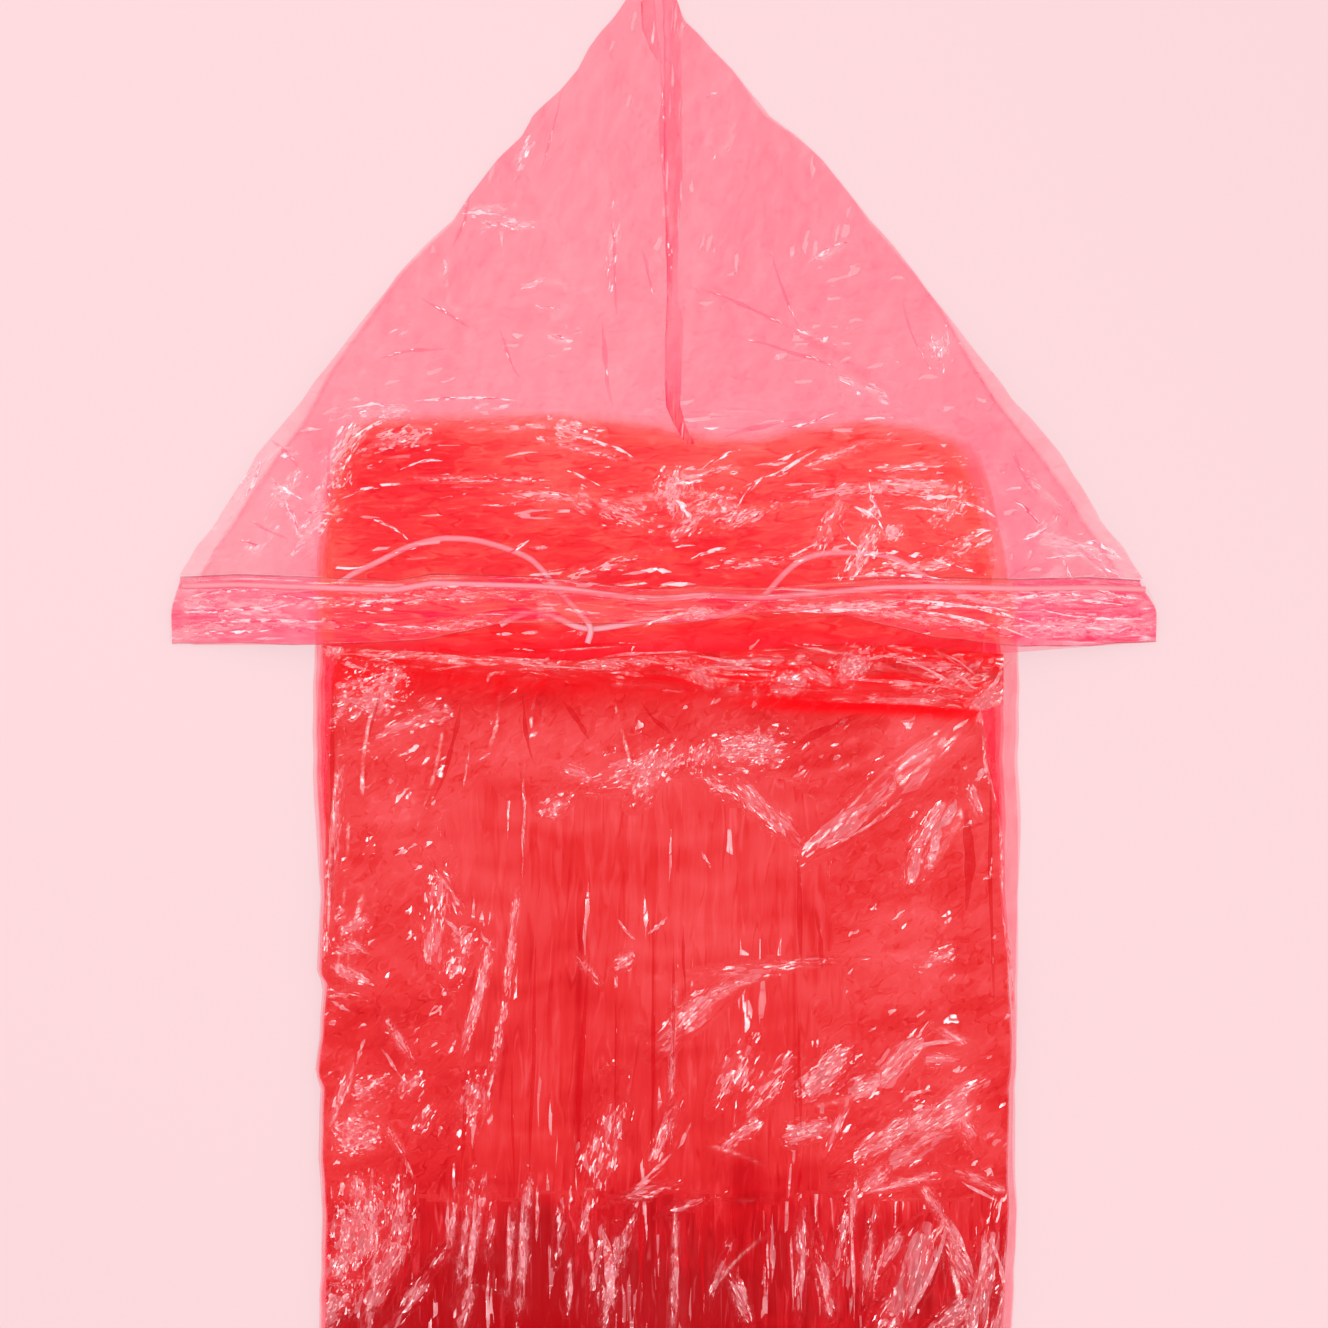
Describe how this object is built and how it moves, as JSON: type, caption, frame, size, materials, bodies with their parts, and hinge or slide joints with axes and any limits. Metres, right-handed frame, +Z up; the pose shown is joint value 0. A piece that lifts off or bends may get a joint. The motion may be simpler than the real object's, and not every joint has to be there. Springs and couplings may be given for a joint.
{
  "type": "hooded rain poncho, folded lengthwise and laid flat",
  "caption": "A translucent red film rain poncho lying face up, folded lengthwise, with its hood flattened to a wide triangle and its drawstring ends showing under the hood's hem.",
  "frame": {"origin": "the middle of the whole footprint, on the surface that the poncho lies on", "axes": "+Z up from the surface, +Y towards the hood's point, +X to the right as seen from above with the point away"},
  "size_m": [0.5924, 1.275, 0.021],
  "materials": {
    "film_red": "crumpled glossy polyethylene film in several layers, translucent deep red",
    "film_pink": "one or two layers of glossy polyethylene film, see-through pink",
    "weld_red": "doubled and welded polyethylene film, see-through, a deeper pink",
    "string_pink": "soft plastic string, pale pink"
  },
  "bodies": {
    "root": {"back_panel": "film_red", "folded_sides": "film_red", "front_panel": "film_red", "neck_seam": "film_red", "hood_back": "film_pink", "hood_front": "film_pink", "hood_seam": "weld_red", "hood_hem": "weld_red", "drawstring_channel": "string_pink", "drawstring_left_end": "string_pink", "drawstring_right_end": "string_pink"}
  },
  "joints": []
}
